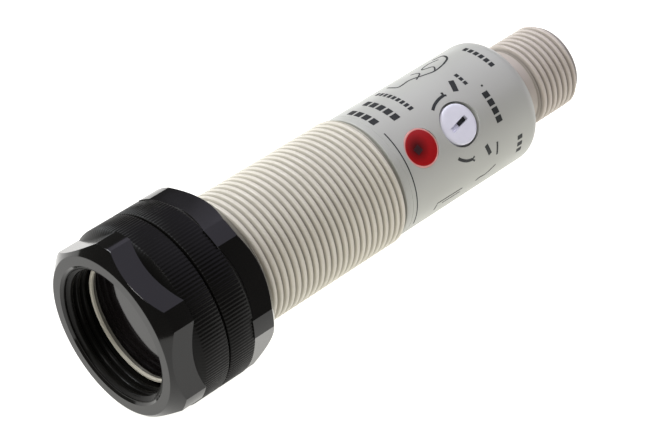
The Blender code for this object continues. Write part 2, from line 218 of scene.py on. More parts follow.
def smoothstep(low, high, value):
    """0 at low, 1 at high, and smooth between them."""
    share = min(max((value - low) / (high - low), 0.0), 1.0)
    return share * share * (3.0 - 2.0 * share)


# Mesh making.
def finish_mesh(shape, name, outward=True, sharp=SHARP):
    """Welds the mesh, turns its faces outward, shades it smooth and links it as an object."""
    bmesh.ops.remove_doubles(shape, verts=shape.verts, dist=WELD_M)
    if outward:
        bmesh.ops.recalc_face_normals(shape, faces=shape.faces)
    mesh = bpy.data.meshes.new(name)
    shape.to_mesh(mesh)
    shape.free()
    mesh.shade_smooth()
    mesh.set_sharp_from_angle(angle=sharp)
    made = bpy.data.objects.new(name, mesh)
    bpy.context.scene.collection.objects.link(made)
    return made


def add_grid(shape, columns, loop):
    """Quads between each column of places and the next, all round.

    loop also joins each column's last place to its first.
    """
    made = [[shape.verts.new(spot) for spot in column] for column in columns]
    length = len(made[0])
    for i, left in enumerate(made):
        right = made[(i + 1) % len(made)]
        for j in range(length if loop else length - 1):
            k = (j + 1) % length
            shape.faces.new((left[j], left[k], right[k], right[j]))


def add_lathe(shape, outline, steps, loop=False):
    """A surface turned about the sensor's axis."""
    turns = [360.0 * i / steps for i in range(steps)]
    add_grid(shape, [[place(x, r, turn) for x, r in outline] for turn in turns], loop)


def add_helix(shape, x_low, x_high, groove, radius, steps):
    """A threaded surface of 1 mm pitch whose mesh lines follow the helix. radius takes (x, turn)."""
    # Columns run on past both ends and are held at x_low and x_high. lead lines the samples up with
    # the groove, and the last column meets the first one a pitch further on.
    lead = -((x_low - groove) % (1.0 / THREAD_SAMPLES))
    length = math.ceil((x_high - x_low + 2.0) * THREAD_SAMPLES) + 2
    columns = []
    for i in range(steps):
        turn = 360.0 * i / steps
        column = []
        for j in range(length):
            x = x_low - 1.0 + lead + j / THREAD_SAMPLES + turn / 360.0
            x = min(max(x, x_low), x_high)
            column.append(shape.verts.new(place(x, radius(x, turn), turn)))
        columns.append(column)
    for i in range(steps):
        shift = THREAD_SAMPLES if i == steps - 1 else 0
        left = columns[i]
        right = columns[(i + 1) % steps]
        for j in range(length - 1 - shift):
            corners = (left[j], left[j + 1], right[j + 1 + shift], right[j + shift])
            shape.faces.new(corners)


def groove_height(x, turn, groove):
    """0 at the bottom of a thread groove and 1 on the crest."""
    phase = (x - groove - turn / 360.0) % 1.0
    return smoothstep(GROOVE_FLOOR, GROOVE_WALL, min(phase, 1.0 - phase))


def drop_flat_faces(shape):
    """Removes the faces without area that are left where an outline meets an axis or a limit."""
    bmesh.ops.remove_doubles(shape, verts=shape.verts, dist=WELD_M)
    bmesh.ops.dissolve_degenerate(shape, dist=1e-8, edges=shape.edges)


def cut(body, tool, operation="DIFFERENCE"):
    """Applies a Boolean at once, in millimetres, where its merging distances suit so small a part."""
    for each in (body, tool):
        each.data.transform(Matrix.Scale(1.0 / MM, 4))
    change = body.modifiers.new(tool.name, "BOOLEAN")
    change.operation = operation
    change.solver = "EXACT"
    change.object = tool
    apply_modifiers(body)
    body.data.transform(Matrix.Scale(MM, 4))
    bpy.data.objects.remove(tool)


def apply_modifiers(body):
    """Keeps the evaluated mesh, in triangles and without the Boolean's zero-length edges."""
    view = bpy.context.evaluated_depsgraph_get()
    mesh = bpy.data.meshes.new_from_object(body.evaluated_get(view))
    shape = bmesh.new()
    shape.from_mesh(mesh)
    bmesh.ops.triangulate(shape, faces=shape.faces)
    bmesh.ops.dissolve_degenerate(shape, dist=1e-4, edges=shape.edges)
    bmesh.ops.triangulate(shape, faces=shape.faces)
    shape.to_mesh(mesh)
    shape.free()
    body.modifiers.clear()
    body.data = mesh
    mesh.shade_smooth()
    mesh.set_sharp_from_angle(angle=SHARP)


def outward_frame(x):
    """Local Z looks out from the sensor's axis as the adjuster does, local X runs along the sensor."""
    out = place(0.0, 1.0, ADJUSTER_TURN).normalized()
    along = Vector((1.0, 0.0, 0.0))
    side = out.cross(along)
    frame_rows = Matrix((along, side, out)).transposed().to_4x4()
    frame_rows.translation = Vector((x * MM, 0.0, 0.0))
    return frame_rows


def upright_lathe(name, outline, steps, x):
    """A piece turned about a line that stands out from the sensor's side. The outline is (radius, height)."""
    shape = bmesh.new()
    columns = []
    for i in range(steps):
        angle = 2.0 * math.pi * i / steps
        spots = [(r * math.cos(angle), r * math.sin(angle), height) for r, height in outline]
        columns.append([Vector(spot) * MM for spot in spots])
    add_grid(shape, columns, loop=False)
    for vertex in shape.verts:
        vertex.co = outward_frame(x) @ vertex.co
    drop_flat_faces(shape)
    return finish_mesh(shape, name)


def slab(name, size, centre, spin, x):
    """A block on the sensor's side, turned by spin about the line that stands out from it."""
    shape = bmesh.new()
    bmesh.ops.create_cube(shape, size=1.0)
    bmesh.ops.scale(shape, vec=[value * MM for value in size], verts=shape.verts)
    bmesh.ops.translate(shape, vec=[value * MM for value in centre], verts=shape.verts)
    spin_matrix = outward_frame(x) @ Matrix.Rotation(math.radians(spin), 4, "Z")
    bmesh.ops.transform(shape, matrix=spin_matrix, verts=shape.verts)
    return finish_mesh(shape, name)


def attach(piece, body, slot, *nodes):
    """Puts a piece on a body, in place of the CAD nodes that it shows. Its slot is not used."""
    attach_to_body(piece, body)
    if nodes:
        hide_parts(*nodes)
    return piece


# Materials.
class Surface:
    """A material with a Principled shader and the nodes that feed it. Its coordinates are in metres."""

    def __init__(self, name, colour, roughness, metallic=0.0):
        self.material = bpy.data.materials.new(name)
        self.material.use_nodes = True
        self.nodes = self.material.node_tree.nodes
        self.links = self.material.node_tree.links
        self.shader = self.nodes["Principled BSDF"]
        self.colour = colour
        self.shader.inputs["Base Color"].default_value = (*colour, 1.0)
        self.shader.inputs["Roughness"].default_value = roughness
        self.shader.inputs["Metallic"].default_value = metallic
        self.coordinates = self.nodes.new("ShaderNodeTexCoord").outputs["Object"]

    def noise(self, scale, detail=3.0, stretch=(1.0, 1.0, 1.0)):
        """Cloudy noise from 0 to 1, in finer spots the higher the scale."""
        mapping = self.nodes.new("ShaderNodeMapping")
        mapping.inputs["Scale"].default_value = stretch
        self.links.new(self.coordinates, mapping.inputs["Vector"])
        texture = self.nodes.new("ShaderNodeTexNoise")
        texture.inputs["Scale"].default_value = scale
        texture.inputs["Detail"].default_value = detail
        self.links.new(mapping.outputs["Vector"], texture.inputs["Vector"])
        return texture.outputs["Fac"]

    def ramp(self, factor, stops):
        """Turns a number into a colour, by (position, colour) stops."""
        made = self.nodes.new("ShaderNodeValToRGB")
        elements = made.color_ramp.elements
        while len(elements) < len(stops):
            elements.new(0.5)
        for element, (position, colour) in zip(elements, stops):
            element.position = position
            element.color = (*colour, 1.0)
        self.links.new(factor, made.inputs["Fac"])
        return made.outputs["Color"]

    def mottle(self, scale, amount, stretch=(1.0, 1.0, 1.0)):
        """Lets the colour drift a little over the surface."""
        dark = [value * (1.0 - amount) for value in self.colour]
        light = [min(value * (1.0 + amount), 1.0) for value in self.colour]
        mixed = self.ramp(self.noise(scale, 2.0, stretch), [(0.3, dark), (0.7, light)])
        self.links.new(mixed, self.shader.inputs["Base Color"])
        return self

    def groove_shade(self, root, crest, depth):
        """Paints shade into thread grooves, darker by the distance from the sensor's axis, but nothing well
        below them.
        """
        flat = self.nodes.new("ShaderNodeVectorMath")
        flat.operation = "MULTIPLY"
        flat.inputs[1].default_value = (0.0, 1.0, 1.0)
        self.links.new(self.coordinates, flat.inputs[0])
        radius = self.nodes.new("ShaderNodeVectorMath")
        radius.operation = "LENGTH"
        self.links.new(flat.outputs["Vector"], radius.inputs[0])
        height = self.nodes.new("ShaderNodeMapRange")
        height.inputs["From Min"].default_value = (root - 0.15) * MM
        height.inputs["From Max"].default_value = crest * MM
        self.links.new(radius.outputs["Value"], height.inputs["Value"])
        # The first unshaded stop is the plain surface below the thread, the last one its crest; the groove's
        # floor between them gets painted shade.
        unshaded = (1.0, 1.0, 1.0)
        shaded_floor = (1.0 - depth,) * 3
        stops = [(0.08, unshaded), (0.2, shaded_floor), (0.3, shaded_floor), (0.88, unshaded)]
        return self.multiply(self.ramp(height.outputs["Result"], stops))

    def multiply(self, shade):
        """Multiplies what already feeds the base colour by another colour."""
        mixed = self.nodes.new("ShaderNodeMix")
        mixed.data_type = "RGBA"
        mixed.blend_type = "MULTIPLY"
        mixed.inputs["Factor"].default_value = 1.0
        colour = self.shader.inputs["Base Color"]
        self.links.new(colour.links[0].from_socket, mixed.inputs[6])
        self.links.new(shade, mixed.inputs[7])
        self.links.new(mixed.outputs[2], colour)
        return self

    def away_from(self, spot, reach):
        """0 at a spot given in metres, rising to 1 at reach from it."""
        local = self.nodes.new("ShaderNodeVectorMath")
        local.operation = "DISTANCE"
        local.inputs[1].default_value = spot
        self.links.new(self.coordinates, local.inputs[0])
        share = self.nodes.new("ShaderNodeMapRange")
        share.inputs["From Max"].default_value = reach * MM
        self.links.new(local.outputs["Value"], share.inputs["Value"])
        return share.outputs["Result"]

    def sheen_range(self, scale, low, high):
        """Lets the roughness drift between two values."""
        spread = self.nodes.new("ShaderNodeMapRange")
        spread.inputs["From Min"].default_value = 0.3
        spread.inputs["From Max"].default_value = 0.7
        spread.inputs["To Min"].default_value = low
        spread.inputs["To Max"].default_value = high
        self.links.new(self.noise(scale), spread.inputs["Value"])
        self.links.new(spread.outputs["Result"], self.shader.inputs["Roughness"])
        return self

    def grain(self, scale, strength, height, stretch=(1.0, 1.0, 1.0)):
        """A fine relief of that height."""
        bump = self.nodes.new("ShaderNodeBump")
        bump.inputs["Strength"].default_value = strength
        bump.inputs["Distance"].default_value = height * MM
        self.links.new(self.noise(scale, 4.0, stretch), bump.inputs["Height"])
        self.links.new(bump.outputs["Normal"], self.shader.inputs["Normal"])
        return self

    def gloss(self, **values):
        """Sets the shader's own sockets, named with _ for a space."""
        for socket, value in values.items():
            self.shader.inputs[socket.replace("_", " ")].default_value = value
        return self

    def on(self, *pieces):
        for piece in pieces:
            piece.data.materials.clear()
            piece.data.materials.append(self.material)


# Threaded case.
def case_radius(x, turn):
    """The thread, with its first and last turns chamfered."""
    crest = CASE_ROOT + (CASE_CREST - CASE_ROOT) * groove_height(x, turn, CASE_GROOVE)
    front = CASE_FRONT_R + (x - CASE_FRONT) * CASE_FRONT_SLOPE
    back = CASE_ROOT + (CASE_BACK - x) * CASE_BACK_SLOPE
    return min(crest, front, back)


def build_case():
    shape = bmesh.new()
    add_helix(shape, CASE_FRONT, CASE_BACK, CASE_GROOVE, case_radius, CASE_COLUMNS)
    inside = [
        (CASE_BACK, CASE_ROOT),
        (CASE_BACK, SPIGOT_R),
        (SPIGOT_END, SPIGOT_R),
        (SPIGOT_END, CASE_BORE),
        (SEAT_BACK, CASE_BORE),
        (SEAT_BACK, SEAT_R),
        (RIM_BACK, SEAT_R),
        (RIM_BACK, RIM_R),
        (CASE_FRONT + 0.06, RIM_R),
        (CASE_FRONT, RIM_R + 0.05),
        (CASE_FRONT, CASE_FRONT_R),
    ]
    add_lathe(shape, inside, CASE_COLUMNS)
    drop_flat_faces(shape)
    return finish_mesh(shape, "case_tube")


def build_window():
    shape = bmesh.new()
    outline = [
        (WINDOW_BACK, 0.0),
        (WINDOW_BACK, WINDOW_R - 0.1),
        (WINDOW_BACK - 0.1, WINDOW_R),
        (LIP_BACK, WINDOW_R),
        (LIP_BACK, LIP_R - 0.06),
        (WINDOW_FACE + 0.07, LIP_R),
        (WINDOW_FACE + 0.02, LIP_R - 0.03),
        (WINDOW_FACE, LIP_R - 0.12),
        (WINDOW_FACE, 4.0),
        (WINDOW_FACE, 0.0),
    ]
    add_lathe(shape, outline, WINDOW_COLUMNS)
    drop_flat_faces(shape)
    return finish_mesh(shape, "sensing_window")


# Plug end with its thread, its flange inside the cover and the key that codes the socket.
def plug_radius(x, turn):
    """The thread, with its first turn rising from the neck and its last one chamfered."""
    crest = PLUG_ROOT + (PLUG_CREST - PLUG_ROOT) * groove_height(x, turn, PLUG_GROOVE)
    start = PLUG_NECK + (x - PLUG_THREAD_START) * PLUG_START_SLOPE
    end = PLUG_ROOT + (PLUG_THREAD_END - x) * PLUG_END_SLOPE
    return min(crest, start, end)


def build_plug():
    shape = bmesh.new()
    add_helix(shape, PLUG_THREAD_START, PLUG_THREAD_END, PLUG_GROOVE, plug_radius, PLUG_COLUMNS)
    rest = [
        (PLUG_THREAD_END, PLUG_ROOT),
        (PLUG_END - 0.2, PLUG_ROOT + 0.02),
        (PLUG_END - 0.06, PLUG_ROOT - 0.03),
        (PLUG_END, PLUG_ROOT - 0.16),
        (PLUG_END, PLUG_BORE + 0.2),
        (PLUG_END - 0.12, PLUG_BORE + 0.04),
        (PLUG_END - 0.3, PLUG_BORE),
        (INSERT_SEAT, PLUG_BORE),
        (INSERT_SEAT, INSERT_SEAT_R),
        (FLANGE_BACK, INSERT_SEAT_R),
        (FLANGE_BACK, FLANGE_R),
        (FLANGE_FRONT, FLANGE_R),
        (FLANGE_FRONT, SHOULDER_R),
        (SHOULDER_FRONT - 0.3, SHOULDER_R),
        (SHOULDER_FRONT - 0.1, SHOULDER_R - 0.08),
        (SHOULDER_FRONT - 0.02, SHOULDER_R - 0.25),
        (SHOULDER_FRONT, PLUG_NECK + 0.7),
        (SHOULDER_FRONT + 0.15, PLUG_NECK + 0.35),
        (SHOULDER_FRONT + 0.55, PLUG_NECK),
        (PLUG_THREAD_START, PLUG_NECK),
    ]
    add_lathe(shape, rest, PLUG_COLUMNS)
    drop_flat_faces(shape)
    plug = finish_mesh(shape, "plug_end")
    cut(plug, slab("key", KEY_SIZE, (0.0, 0.0, KEY_HEIGHT), 0.0, KEY_X), "UNION")
    return plug


# Grey cover with its two holes and the boss under the adjuster.
def cover_outline():
    """The front band, the fine line, the straight part in short lengths and the rounded back end."""
    band = COVER_R - BAND_DEPTH
    sunk = COVER_R - LINE_DEPTH
    front = [
        (COVER_FRONT, COVER_BORE),
        (COVER_FRONT, COVER_R - 0.12),
        (COVER_FRONT + 0.07, COVER_R - 0.04),
        (COVER_FRONT + 0.15, band),
        (COVER_LINE - 0.08, band),
        (COVER_LINE - 0.03, sunk),
        (COVER_LINE + 0.03, sunk),
        (COVER_LINE + 0.08, COVER_R),
    ]
    straight = [(COVER_LINE + 2.0 + 1.9 * step, COVER_R) for step in range(11)]
    rounding = []
    for angle in range(0, COVER_ROUND_END + 1, COVER_ROUND_STEP):
        drop = COVER_ROUND * (1.0 - math.cos(math.radians(angle)))
        left = COVER_ROUND * (1.0 - math.sin(math.radians(angle)))
        rounding.append((COVER_BACK - left, COVER_R - drop))
    mouth = [
        (COVER_BACK - 0.04, COVER_MOUTH + 0.02),
        (COVER_BACK - 0.2, COVER_MOUTH),
        (COVER_BACK - 1.9, COVER_MOUTH),
        (COVER_BACK - 1.9, COVER_BORE),
    ]
    return front + straight + rounding + mouth


def build_cover():
    shape = bmesh.new()
    add_lathe(shape, cover_outline(), COVER_COLUMNS, loop=True)
    cover = finish_mesh(shape, "cover_shell")
    boss = [(0.0, BOSS_FOOT), (BOSS_R, BOSS_FOOT), (BOSS_R, BOSS_TOP), (0.0, BOSS_TOP)]
    cut(cover, upright_lathe("boss", boss, BOSS_COLUMNS, ADJUSTER_X), "UNION")
    well = [
        (0.0, BOSS_FOOT - 0.4),
        (STEM_BORE, BOSS_FOOT - 0.4),
        (STEM_BORE, SEAL_FLOOR),
        (SEAL_BORE, SEAL_FLOOR),
        (SEAL_BORE, WELL_FLOOR),
        (WELL_R, WELL_FLOOR),
        (WELL_R, BOSS_TOP + 0.52),
        (WELL_R + 0.1, CLEAR_HEIGHT),
        (0.0, CLEAR_HEIGHT),
    ]
    cut(cover, upright_lathe("well", well, ROUND_COLUMNS, ADJUSTER_X))
    hole_r = LENS_R + 0.03
    hole_foot = LENS_BACK - 1.0
    lamp_hole = [(0.0, hole_foot), (hole_r, hole_foot), (hole_r, CLEAR_HEIGHT), (0.0, CLEAR_HEIGHT)]
    cut(cover, upright_lathe("lamp_hole", lamp_hole, ROUND_COLUMNS, INDICATOR_X))
    return cover


# Nuts: a chamfered hexagon and a knurled collar behind it.
def nut_turns(flat_turn):
    """Turns round the hexagon with a column on each edge of each flat, and each one's reach."""
    half = math.degrees(math.acos(NUT_FLAT / NUT_CORNER))
    turns = []
    for side in range(6):
        middle = flat_turn + 60.0 * side
        for step in range(FLAT_PARTS + 1):
            away = half * (2.0 * step / FLAT_PARTS - 1.0)
            turns.append((middle + away, NUT_FLAT / math.cos(math.radians(away))))
        for step in range(1, CORNER_PARTS):
            away = half + (60.0 - 2.0 * half) * step / CORNER_PARTS
            turns.append((middle + away, NUT_CORNER))
    return turns


def build_hexagon(name, face, inward, flat_turn, mouth_depth):
    """inward is 1 where the collar lies at higher x, else -1."""
    shape = bmesh.new()
    columns = []
    middle_back = face + inward * NUT_HEX
    for turn, reach in nut_turns(flat_turn):
        chamfer = face + inward * (reach - NUT_FACE_R)
        back = middle_back + inward * (reach - NUT_FLAT)
        outline = [
            (face + inward * 0.05, NUT_MOUTH + 0.02),
            (face, NUT_MOUTH + 0.08),
            (face, NUT_FACE_R - 0.07),
            (face + inward * 0.02, NUT_FACE_R),
            (chamfer - inward * 0.015, reach - 0.015),
            (chamfer + inward * 0.01, reach),
            (back - inward * 0.03, reach),
            (back, reach - 0.03),
            (middle_back, NUT_FLAT - 0.1),
            (middle_back, NUT_BORE),
            (face + inward * mouth_depth, NUT_BORE),
        ]
        columns.append([place(x, r, turn) for x, r in outline])
    add_grid(shape, columns, loop=True)
    return finish_mesh(shape, name, sharp=HEX_SHARP)


def build_collar(name, face, inward):
    """The collar rises on a 45 degree cone from behind the flats, and is finely toothed.

    The teeth's chamfered ends are polished, and take the second material.
    """
    shape = bmesh.new()
    start = face + inward * NUT_HEX
    end = face + inward * NUT_THICK
    columns = []
    for tooth in range(KNURL_TEETH):
        for part, height in enumerate(TOOTH_SHAPE):
            turn = 360.0 * (tooth + part / len(TOOTH_SHAPE)) / KNURL_TEETH
            crest = NUT_COLLAR - KNURL_DEPTH * (1.0 - height)
            outline = [
                (start, NUT_BORE),
                (start, NUT_FLAT - 0.06),
                (start + inward * 0.03, NUT_FLAT),
                (start + inward * (crest - NUT_FLAT - 0.03), crest - 0.04),
                (start + inward * (crest - NUT_FLAT + 0.04), crest),
                (end - inward * 0.2, crest),
                (end - inward * 0.02, crest - 0.12),
                (end, NUT_COLLAR - 0.3),
                (end, NUT_MOUTH),
                (end - inward * 0.45, NUT_BORE),
            ]
            columns.append([place(x, r, turn) for x, r in outline])
    add_grid(shape, columns, loop=True)
    bands = len(columns[0])
    for count, quad in enumerate(shape.faces):
        if count % bands == TOOTH_END:
            quad.material_index = 1
    return finish_mesh(shape, name, sharp=TOOTH_SHARP)


def mouth_radius(x, turn):
    """The nut's own thread, fading out at both ends of its mouth."""
    ridge = groove_height(x, turn, CASE_GROOVE)
    rise = smoothstep(MOUTH_THREAD_START, MOUTH_THREAD_START + 0.5, x)
    fall = smoothstep(MOUTH_THREAD_END, MOUTH_THREAD_END - 0.3, x)
    return NUT_BORE - 0.03 - MOUTH_RIDGE * ridge * min(rise, fall)


def build_mouth_thread():
    """The front nut's thread in front of the case, as a thin threaded sleeve in the bore."""
    low = MOUTH_THREAD_START
    high = MOUTH_THREAD_END
    inner = NUT_BORE - 0.03
    outer = NUT_BORE + 0.12
    shape = bmesh.new()
    add_helix(shape, low, high, CASE_GROOVE, mouth_radius, CASE_COLUMNS)
    add_lathe(shape, [(high, inner), (high, outer), (low, outer), (low, inner)], CASE_COLUMNS)
    drop_flat_faces(shape)
    return finish_mesh(shape, "front_nut_thread")


# Sensitivity adjuster and indicator.
def build_adjuster():
    outline = [
        (0.0, STEM_FOOT),
        (STEM_R, STEM_FOOT),
        (STEM_R, KNOB_BACK),
        (KNOB_R - 0.1, KNOB_BACK),
        (KNOB_R, KNOB_BACK + 0.1),
        (KNOB_R, KNOB_TOP - 0.28),
        (KNOB_R - 0.03, KNOB_TOP - 0.18),
        (KNOB_R - 0.12, KNOB_TOP - 0.09),
        (KNOB_R - 0.25, KNOB_TOP - 0.04),
        (KNOB_R - 0.65, KNOB_TOP - 0.01),
        (0.0, KNOB_TOP),
    ]
    disc = upright_lathe("adjuster_disc", outline, ROUND_COLUMNS, ADJUSTER_X)
    cut(disc, slab("slot", SLOT_SIZE, (0.0, 0.0, KNOB_TOP), SLOT_TURN, ADJUSTER_X))
    return disc


def build_pointer():
    """A dark sheet on half of the slot's floor: painted shade where the slot lies in shadow."""
    slot_floor = KNOB_TOP - SLOT_SIZE[2] / 2.0
    centre = (SLOT_SHADE_OFF, 0.0, slot_floor)
    return slab("adjuster_slot_shade", SLOT_SHADE_SIZE, centre, SLOT_TURN, ADJUSTER_X)


def build_indicator():
    """A lens with a low dome, on a narrow guide down to the lamp."""
    dome = []
    for step in range(DOME_PARTS + 1):
        angle = math.radians(90.0 * step / DOME_PARTS)
        dome.append((DOME_R * math.cos(angle), LENS_RIM + 0.06 + DOME_RISE * math.sin(angle)))
    foot = [(0.0, GUIDE_FOOT), (GUIDE_R, GUIDE_FOOT), (GUIDE_R, LENS_BACK), (LENS_R, LENS_BACK)]
    rim = [(LENS_R, LENS_RIM), (LENS_R - 0.03, LENS_RIM + 0.05), (LENS_R - 0.1, LENS_RIM + 0.07)]
    return upright_lathe("indicator_lens", foot + rim + dome, ROUND_COLUMNS, INDICATOR_X)


def build_lamp_face():
    """The lamp's dark square face, seen in the lens a little off its middle."""
    centre = (*LAMP_FACE_OFF, LAMP_FACE_HEIGHT)
    return slab("indicator_lamp_face", LAMP_FACE_SIZE, centre, LAMP_FACE_TURN, INDICATOR_X)


case_tube = attach(build_case(), "sensor", "cream_plastic", "barrel")
sensing_window = attach(build_window(), "sensor", "window_acrylic", "front_window")
plug_end = attach(build_plug(), "sensor", "cream_plastic", "connector_shell")
cover_shell = attach(build_cover(), "sensor", "grey_plastic", "rear_cover")
front_hexagon = build_hexagon("front_nut_hexagon", FRONT_NUT_FACE, 1, FRONT_NUT_TURN, FRONT_MOUTH_DEPTH)
front_collar = build_collar("front_nut_collar", FRONT_NUT_FACE, 1)
mouth_thread = build_mouth_thread()
rear_hexagon = build_hexagon("rear_nut_hexagon", REAR_NUT_FACE, -1, REAR_NUT_TURN, REAR_MOUTH_DEPTH)
rear_collar = build_collar("rear_nut_collar", REAR_NUT_FACE, -1)
for piece in (front_hexagon, front_collar, mouth_thread):
    attach(piece, "front_nut", "black_nut_plastic", "front_nut")
for piece in (rear_hexagon, rear_collar):
    attach(piece, "rear_nut", "black_nut_plastic", "rear_nut")
adjuster_disc = attach(build_adjuster(), "adjuster", "white_plastic", "adjuster_knob")
# Painted shade on half of the adjuster's slot floor.
adjuster_slot_shade = attach(build_pointer(), "adjuster", "black_plastic")
indicator_lens = attach(build_indicator(), "sensor", "red_acrylic", "indicator_window")
lamp_face = attach(build_lamp_face(), "sensor", "red_acrylic")

# Print on the cover: thin closed marks that follow its surface. A stroke is its (x, turn) spots
# and its width.
INK_FOOT = COVER_R - 0.04
INK_TOP = COVER_R + 0.012
INK_STEP = 3.0
ARC_PER_DEGREE = COVER_R * math.radians(1.0)


def add_stroke(shape, spots, width):
    """A ribbon of ink. Its spots stand close enough to follow the cover's roundness."""
    fine = [spots[0]]
    for (x0, t0), (x1, t1) in zip(spots, spots[1:]):
        parts = max(1, math.ceil(abs(t1 - t0) / INK_STEP))
        fine += [(x0 + (x1 - x0) * i / parts, t0 + (t1 - t0) * i / parts) for i in range(1, parts + 1)]
    flat = [Vector((x, turn * ARC_PER_DEGREE)) for x, turn in fine]
    rings = []
    for i, spot in enumerate(flat):
        ahead = (flat[min(i + 1, len(flat) - 1)] - flat[max(i - 1, 0)]).normalized()
        side = Vector((-ahead.y, ahead.x)) * width / 2.0
        ring = []
        for edge, radius in ((side, INK_TOP), (-side, INK_TOP), (-side, INK_FOOT), (side, INK_FOOT)):
            corner = spot + edge
            ring.append(shape.verts.new(place(corner.x, radius, corner.y / ARC_PER_DEGREE)))
        rings.append(ring)
    for first, second in zip(rings, rings[1:]):
        for k in range(4):
            m = (k + 1) % 4
            shape.faces.new((first[k], first[m], second[m], second[k]))
    shape.faces.new(rings[0])
    shape.faces.new(rings[-1])


def ink(name, *strokes):
    shape = bmesh.new()
    for spots, width in strokes:
        add_stroke(shape, spots, width)
    return attach(finish_mesh(shape, name), "sensor", "black_plastic")


def line(width, *spots):
    """A stroke with straight parts from spot to spot."""
    return spots, width


def curve(width, *spots):
    """A stroke that runs smoothly through its spots."""
    return rounded(spots), width


def dashes(x, first, last, count, fill, width):
    """A row of short dashes from turn to turn round the cover, in place of a line of words."""
    step = (last - first) / count
    return [line(width, (x, first + step * i), (x, first + step * (i + fill))) for i in range(count)]


def rounded(spots, parts=5):
    """A smooth run of spots through the given ones."""
    ends = [spots[0], *spots, spots[-1]]
    run = []
    for four in zip(ends, ends[1:], ends[2:], ends[3:]):
        for step in range(parts):
            run.append(tuple(between(*values, step / parts) for values in zip(*four)))
    return [*run, spots[-1]]


def between(a, b, c, d, t):
    """Catmull and Rom's curve, which goes from b to c as t goes from 0 to 1."""
    square = (2.0 * a - 5.0 * b + 4.0 * c - d) * t * t
    cube = (3.0 * b - a - 3.0 * c + d) * t * t * t
    return 0.5 * (2.0 * b + (c - a) * t + square + cube)


PRINT = [
    ink("print_ring_line", line(0.17, (39.3, 17.0), (39.3, 112.0))),
    ink(
        "print_more_scale",
        line(0.78, (52.1, 18.7), (52.85, 7.2)),
        curve(0.42, (47.3, 22.3), (48.1, 19.0), (49.2, 16.6), (50.2, 15.9)),
        line(0.34, (50.55, 17.2), (50.2, 15.9), (50.3, 12.4)),
        *dashes(54.15, 18.3, 2.4, 3, 0.72, 0.55),
    ),
    ink(
        "print_less_scale",
        line(0.62, (52.2, 73.4), (52.75, 84.0)),
        line(0.3, (54.2, 76.6), (54.0, 89.0)),
        curve(0.42, (47.2, 69.8), (47.7, 73.0), (48.6, 76.7), (49.5, 78.2)),
        line(0.3, (49.95, 76.6), (49.5, 78.4), (49.9, 81.0)),
    ),
    ink(
        "print_adjuster_caption",
        *dashes(55.45, 61.5, 30.0, 4, 0.74, 1.0),
        line(0.3, (55.8, 27.4), (55.8, 25.6)),
    ),
    ink("print_lot_marks", *dashes(58.4, 103.0, 81.0, 3, 0.62, 0.9)),
    ink("print_origin_row", *dashes(59.35, 16.6, -20.6, 6, 0.7, 0.75)),
    ink("print_maker_row", *dashes(39.7, 5.0, -30.0, 4, 0.76, 1.1)),
    ink("print_type_row", *dashes(42.4, 12.0, -30.0, 5, 0.74, 1.15)),
    ink("print_kind_row", *dashes(45.1, 11.5, -34.0, 9, 0.66, 0.75)),
    ink(
        "print_wiring_symbol",
        curve(0.22, (50.5, 106.7), (51.2, 105.2), (52.2, 106.0), (53.1, 103.8), (54.0, 100.8)),
        line(0.2, (47.9, 104.2), (43.3, 103.4), (43.0, 111.4)),
        line(0.16, (47.6, 108.0), (44.3, 107.6)),
    ),
    ink(
        "print_hand_symbol",
        curve(0.24, (47.1, -33.2), (47.4, -21.0), (49.5, -21.3), (51.2, -16.6), (53.0, -12.7), (55.0, -15.0)),
        curve(0.3, (55.0, -15.0), (56.4, -20.0), (56.9, -29.8), (55.6, -34.0)),
        curve(0.22, (53.0, -12.7), (53.8, -20.0), (52.6, -26.5), (54.2, -30.5), (55.8, -27.0)),
        curve(0.2, (50.1, -16.0), (51.6, -22.5), (51.0, -30.0)),
    ),
]

# Plastics of the outside.
# The case's thread grooves get painted shade.
cream = Surface("cream_moulding", (0.69, 0.652, 0.55), 0.42).mottle(90.0, 0.035).grain(2600.0, 0.25, 0.012)
cream.sheen_range(300.0, 0.36, 0.5).groove_shade(CASE_ROOT, CASE_CREST, 0.5)
cream.on(case_tube)
# The plug's thread grooves get painted shade.
plug_cream = Surface("plug_moulding", (0.60, 0.54, 0.47), 0.42).mottle(110.0, 0.04).grain(2600.0, 0.25, 0.012)
plug_cream.sheen_range(260.0, 0.36, 0.5).groove_shade(PLUG_ROOT, PLUG_CREST, 0.5)
plug_cream.on(plug_end)
grey = Surface("cover_moulding", (0.47, 0.475, 0.43), 0.4).mottle(70.0, 0.03).grain(2200.0, 0.22, 0.012)
grey.sheen_range(220.0, 0.34, 0.46)
grey.on(cover_shell)
NUT_BLACK = (0.0055, 0.0052, 0.0046)
black = Surface("nut_moulding", NUT_BLACK, 0.1).mottle(120.0, 0.25).grain(1200.0, 0.05, 0.003)
black.sheen_range(180.0, 0.07, 0.13).gloss(Specular_IOR_Level=0.38)
black.on(front_hexagon, rear_hexagon)
knurled = Surface("knurl_moulding", NUT_BLACK, 0.28).mottle(140.0, 0.25).grain(1800.0, 0.15, 0.01)
knurled.sheen_range(200.0, 0.24, 0.38).gloss(Specular_IOR_Level=0.10)
knurled.on(front_collar, rear_collar, mouth_thread)
for piece in (front_collar, rear_collar):
    piece.data.materials.append(black.material)
white = Surface("adjuster_moulding", (0.88, 0.88, 0.96), 0.35).mottle(400.0, 0.03).grain(3000.0, 0.2, 0.01)
white.on(adjuster_disc)
# Dark ink for the print, also used for the painted shade in the adjuster's slot.
ink_and_slot_shade = Surface("cover_ink_and_slot_shade", (0.012, 0.014, 0.013), 0.6).mottle(900.0, 0.3).grain(3500.0, 0.3, 0.006)
ink_and_slot_shade.on(adjuster_slot_shade, *PRINT)


